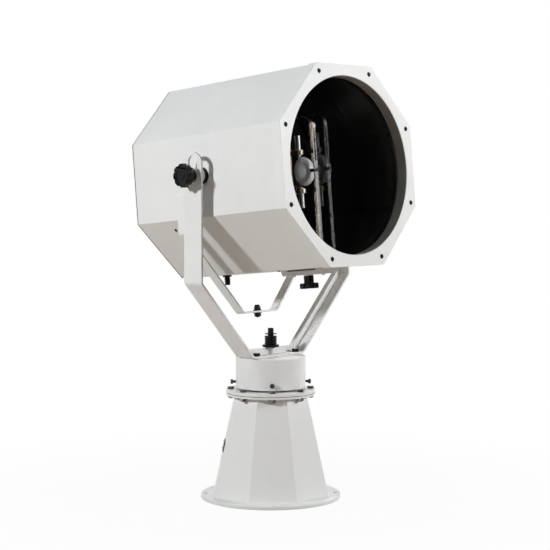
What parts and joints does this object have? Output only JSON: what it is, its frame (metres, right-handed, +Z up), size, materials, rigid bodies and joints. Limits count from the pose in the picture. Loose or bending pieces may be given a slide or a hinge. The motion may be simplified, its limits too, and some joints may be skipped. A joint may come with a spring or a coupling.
{
  "type": "marine searchlight",
  "caption": "Deck searchlight with an octagonal barrel tilting in a bent strap yoke that pans on a tapered octagonal pedestal with a round bolt-down flange",
  "frame": {"origin": "centre of the base flange's underside, where the deck bolts' circle has its centre", "axes": "+Z up the pan axis, the beam points to -Y at rest with the barrel tilted up a little, +X across the yoke along the tilt axis"},
  "size_m": [0.6832, 0.6061, 1.1794],
  "materials": {
    "white_enamel": "smooth gloss enamel",
    "black_plastic": "moulded, slight gloss",
    "black_rubber": "moulded rubber",
    "black_steel": "blackened steel",
    "matt_black": "matt black inner coat",
    "plated_steel": "bright zinc plate",
    "polished_mirror": "polished",
    "clear_glass": "clear toughened glass",
    "brass": "turned brass"
  },
  "bodies": {
    "base": {"base_flange": "white_enamel", "pedestal_shell": "white_enamel", "pedestal_ring": "white_enamel", "flange_seal": "black_rubber", "spindle": "white_enamel", "ring_bolts": "plated_steel", "ring_nuts": "plated_steel", "bearing_inner_rings": "plated_steel", "bearing_balls": "plated_steel", "spindle_nut": "plated_steel"},
    "turntable": {"turntable_drum": "white_enamel", "bearing_outer_rings": "plated_steel", "bearing_retainer": "plated_steel", "retainer_screws": "plated_steel", "pan_lock_screws": "black_steel", "yoke": "white_enamel", "yoke_bolts": "black_steel", "cable_nipple": "white_enamel", "cable_boot": "black_rubber"},
    "barrel": {"barrel_shell": "white_enamel", "front_bezel": "white_enamel", "bezel_seal": "black_rubber", "glass_seal": "black_rubber", "glass_ring": "matt_black", "front_glass": "clear_glass", "glass_retainer": "plated_steel", "bezel_screws": "black_steel", "rear_cover": "white_enamel", "rear_seal": "black_rubber", "rear_screws": "black_steel", "reflector": "polished_mirror", "reflector_bulkhead": "matt_black", "reflector_screws": "plated_steel", "trunnion_left": "white_enamel", "trunnion_right": "white_enamel", "trunnion_nuts": "plated_steel", "clamp_washers": "plated_steel", "elevating_bracket": "white_enamel", "bracket_screws": "plated_steel", "bracket_bolt": "black_steel", "bracket_nuts": "black_steel", "bracket_washers": "black_steel", "focus_rail": "white_enamel", "rail_screws": "plated_steel", "carriage_guides": "plated_steel", "cable_gland": "black_rubber", "gland_nut": "plated_steel"},
    "lamp_carriage": {"carriage_plate": "plated_steel", "lamp_post": "plated_steel", "post_screws": "plated_steel", "shield_mirror": "plated_steel", "mirror_stud": "black_steel", "lamp_frame": "brass", "lamp_bulb": "clear_glass", "lamp_caps": "plated_steel", "focus_stud": "plated_steel"},
    "tilt_knob_left": {"tilt_knob_left": "black_plastic"},
    "tilt_knob_right": {"tilt_knob_right": "black_plastic"},
    "focus_knob": {"focus_knob": "black_plastic"}
  },
  "joints": [
    {"name": "pan", "type": "hinge", "parent": "base", "child": "turntable", "pos_m": [0, 0, 0.35], "axis": [0, 0, 1], "range_deg": [-180, 180]},
    {"name": "tilt", "type": "hinge", "parent": "turntable", "child": "barrel", "pos_m": [0, 0, 0.888], "axis": [-1, 0, 0], "range_deg": [-35.5, 39.5]},
    {"name": "clamp_left", "type": "hinge", "parent": "barrel", "child": "tilt_knob_left", "pos_m": [-0.32, 0, 0.888], "axis": [-1, 0, 0], "range_deg": [0, 360]},
    {"name": "clamp_right", "type": "hinge", "parent": "barrel", "child": "tilt_knob_right", "pos_m": [0.32, 0, 0.888], "axis": [1, 0, 0], "range_deg": [0, 360]},
    {"name": "focus", "type": "slide", "parent": "barrel", "child": "lamp_carriage", "axis": [0, -0.9954, 0.0958], "range_m": [-0.015, 0.015]},
    {"name": "focus_clamp", "type": "hinge", "parent": "lamp_carriage", "child": "focus_knob", "pos_m": [0, -0.14095, 0.60018], "axis": [0, -0.0958, -0.9954], "range_deg": [0, 360]}
  ]
}
